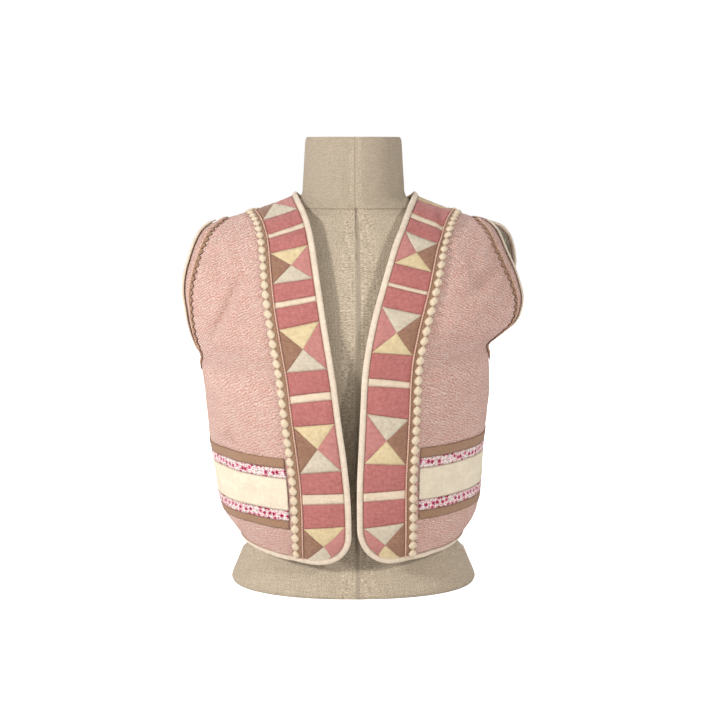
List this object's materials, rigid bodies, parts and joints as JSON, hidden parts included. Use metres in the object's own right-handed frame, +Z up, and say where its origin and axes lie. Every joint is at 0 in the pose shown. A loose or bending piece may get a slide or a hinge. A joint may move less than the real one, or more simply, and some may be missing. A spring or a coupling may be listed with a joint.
{
  "type": "patchwork vest on a limbless dress form",
  "caption": "Open sleeveless patchwork vest with braid, tape and hem strips, resting on a limbless linen dress form that stands on its flat base.",
  "frame": {"origin": "bottom centre of the whole part, on the surface that the form stands on", "axes": "+Z up, the vest's open front looks along -Y, and +X is the picture's right"},
  "size_m": [0.3963, 0.2578, 0.526],
  "materials": {
    "form_linen": "coarse natural linen",
    "pink_crinkle": "matte crinkled cotton",
    "patchwork": "plain cotton patches",
    "light_piping": "matte cotton cord",
    "brown_tape": "fine ribbed tape",
    "cream_braid": "soft woven braid",
    "cream_binding": "plain cotton binding",
    "cream_cotton": "plain cotton",
    "flower_cotton": "printed cotton"
  },
  "bodies": {
    "root": {"armhole_binding_left": "cream_binding", "armhole_binding_right": "cream_binding", "armhole_piping_left": "light_piping", "armhole_piping_right": "light_piping", "back": "pink_crinkle", "band_piping_back": "light_piping", "band_piping_left": "light_piping", "band_piping_right": "light_piping", "brown_ribbon_lower_back": "brown_tape", "brown_ribbon_lower_left": "brown_tape", "brown_ribbon_lower_right": "brown_tape", "brown_ribbon_upper_back": "brown_tape", "brown_ribbon_upper_left": "brown_tape", "brown_ribbon_upper_right": "brown_tape", "brown_tape_back": "brown_tape", "brown_tape_left": "brown_tape", "brown_tape_right": "brown_tape", "cream_strip_back": "cream_cotton", "cream_strip_left": "cream_cotton", "cream_strip_right": "cream_cotton", "diamond_braid_back": "cream_braid", "diamond_braid_left": "cream_braid", "diamond_braid_right": "cream_braid", "dress_form": "form_linen", "edge_binding": "cream_binding", "flower_strip_lower_back": "flower_cotton", "flower_strip_lower_left": "flower_cotton", "flower_strip_lower_right": "flower_cotton", "flower_strip_upper_back": "flower_cotton", "flower_strip_upper_left": "flower_cotton", "flower_strip_upper_right": "flower_cotton", "front_left": "pink_crinkle", "front_right": "pink_crinkle", "patchwork_band_back": "patchwork", "patchwork_band_left": "patchwork", "patchwork_band_right": "patchwork", "rickrack_left": "brown_tape", "rickrack_right": "brown_tape"}
  },
  "joints": []
}
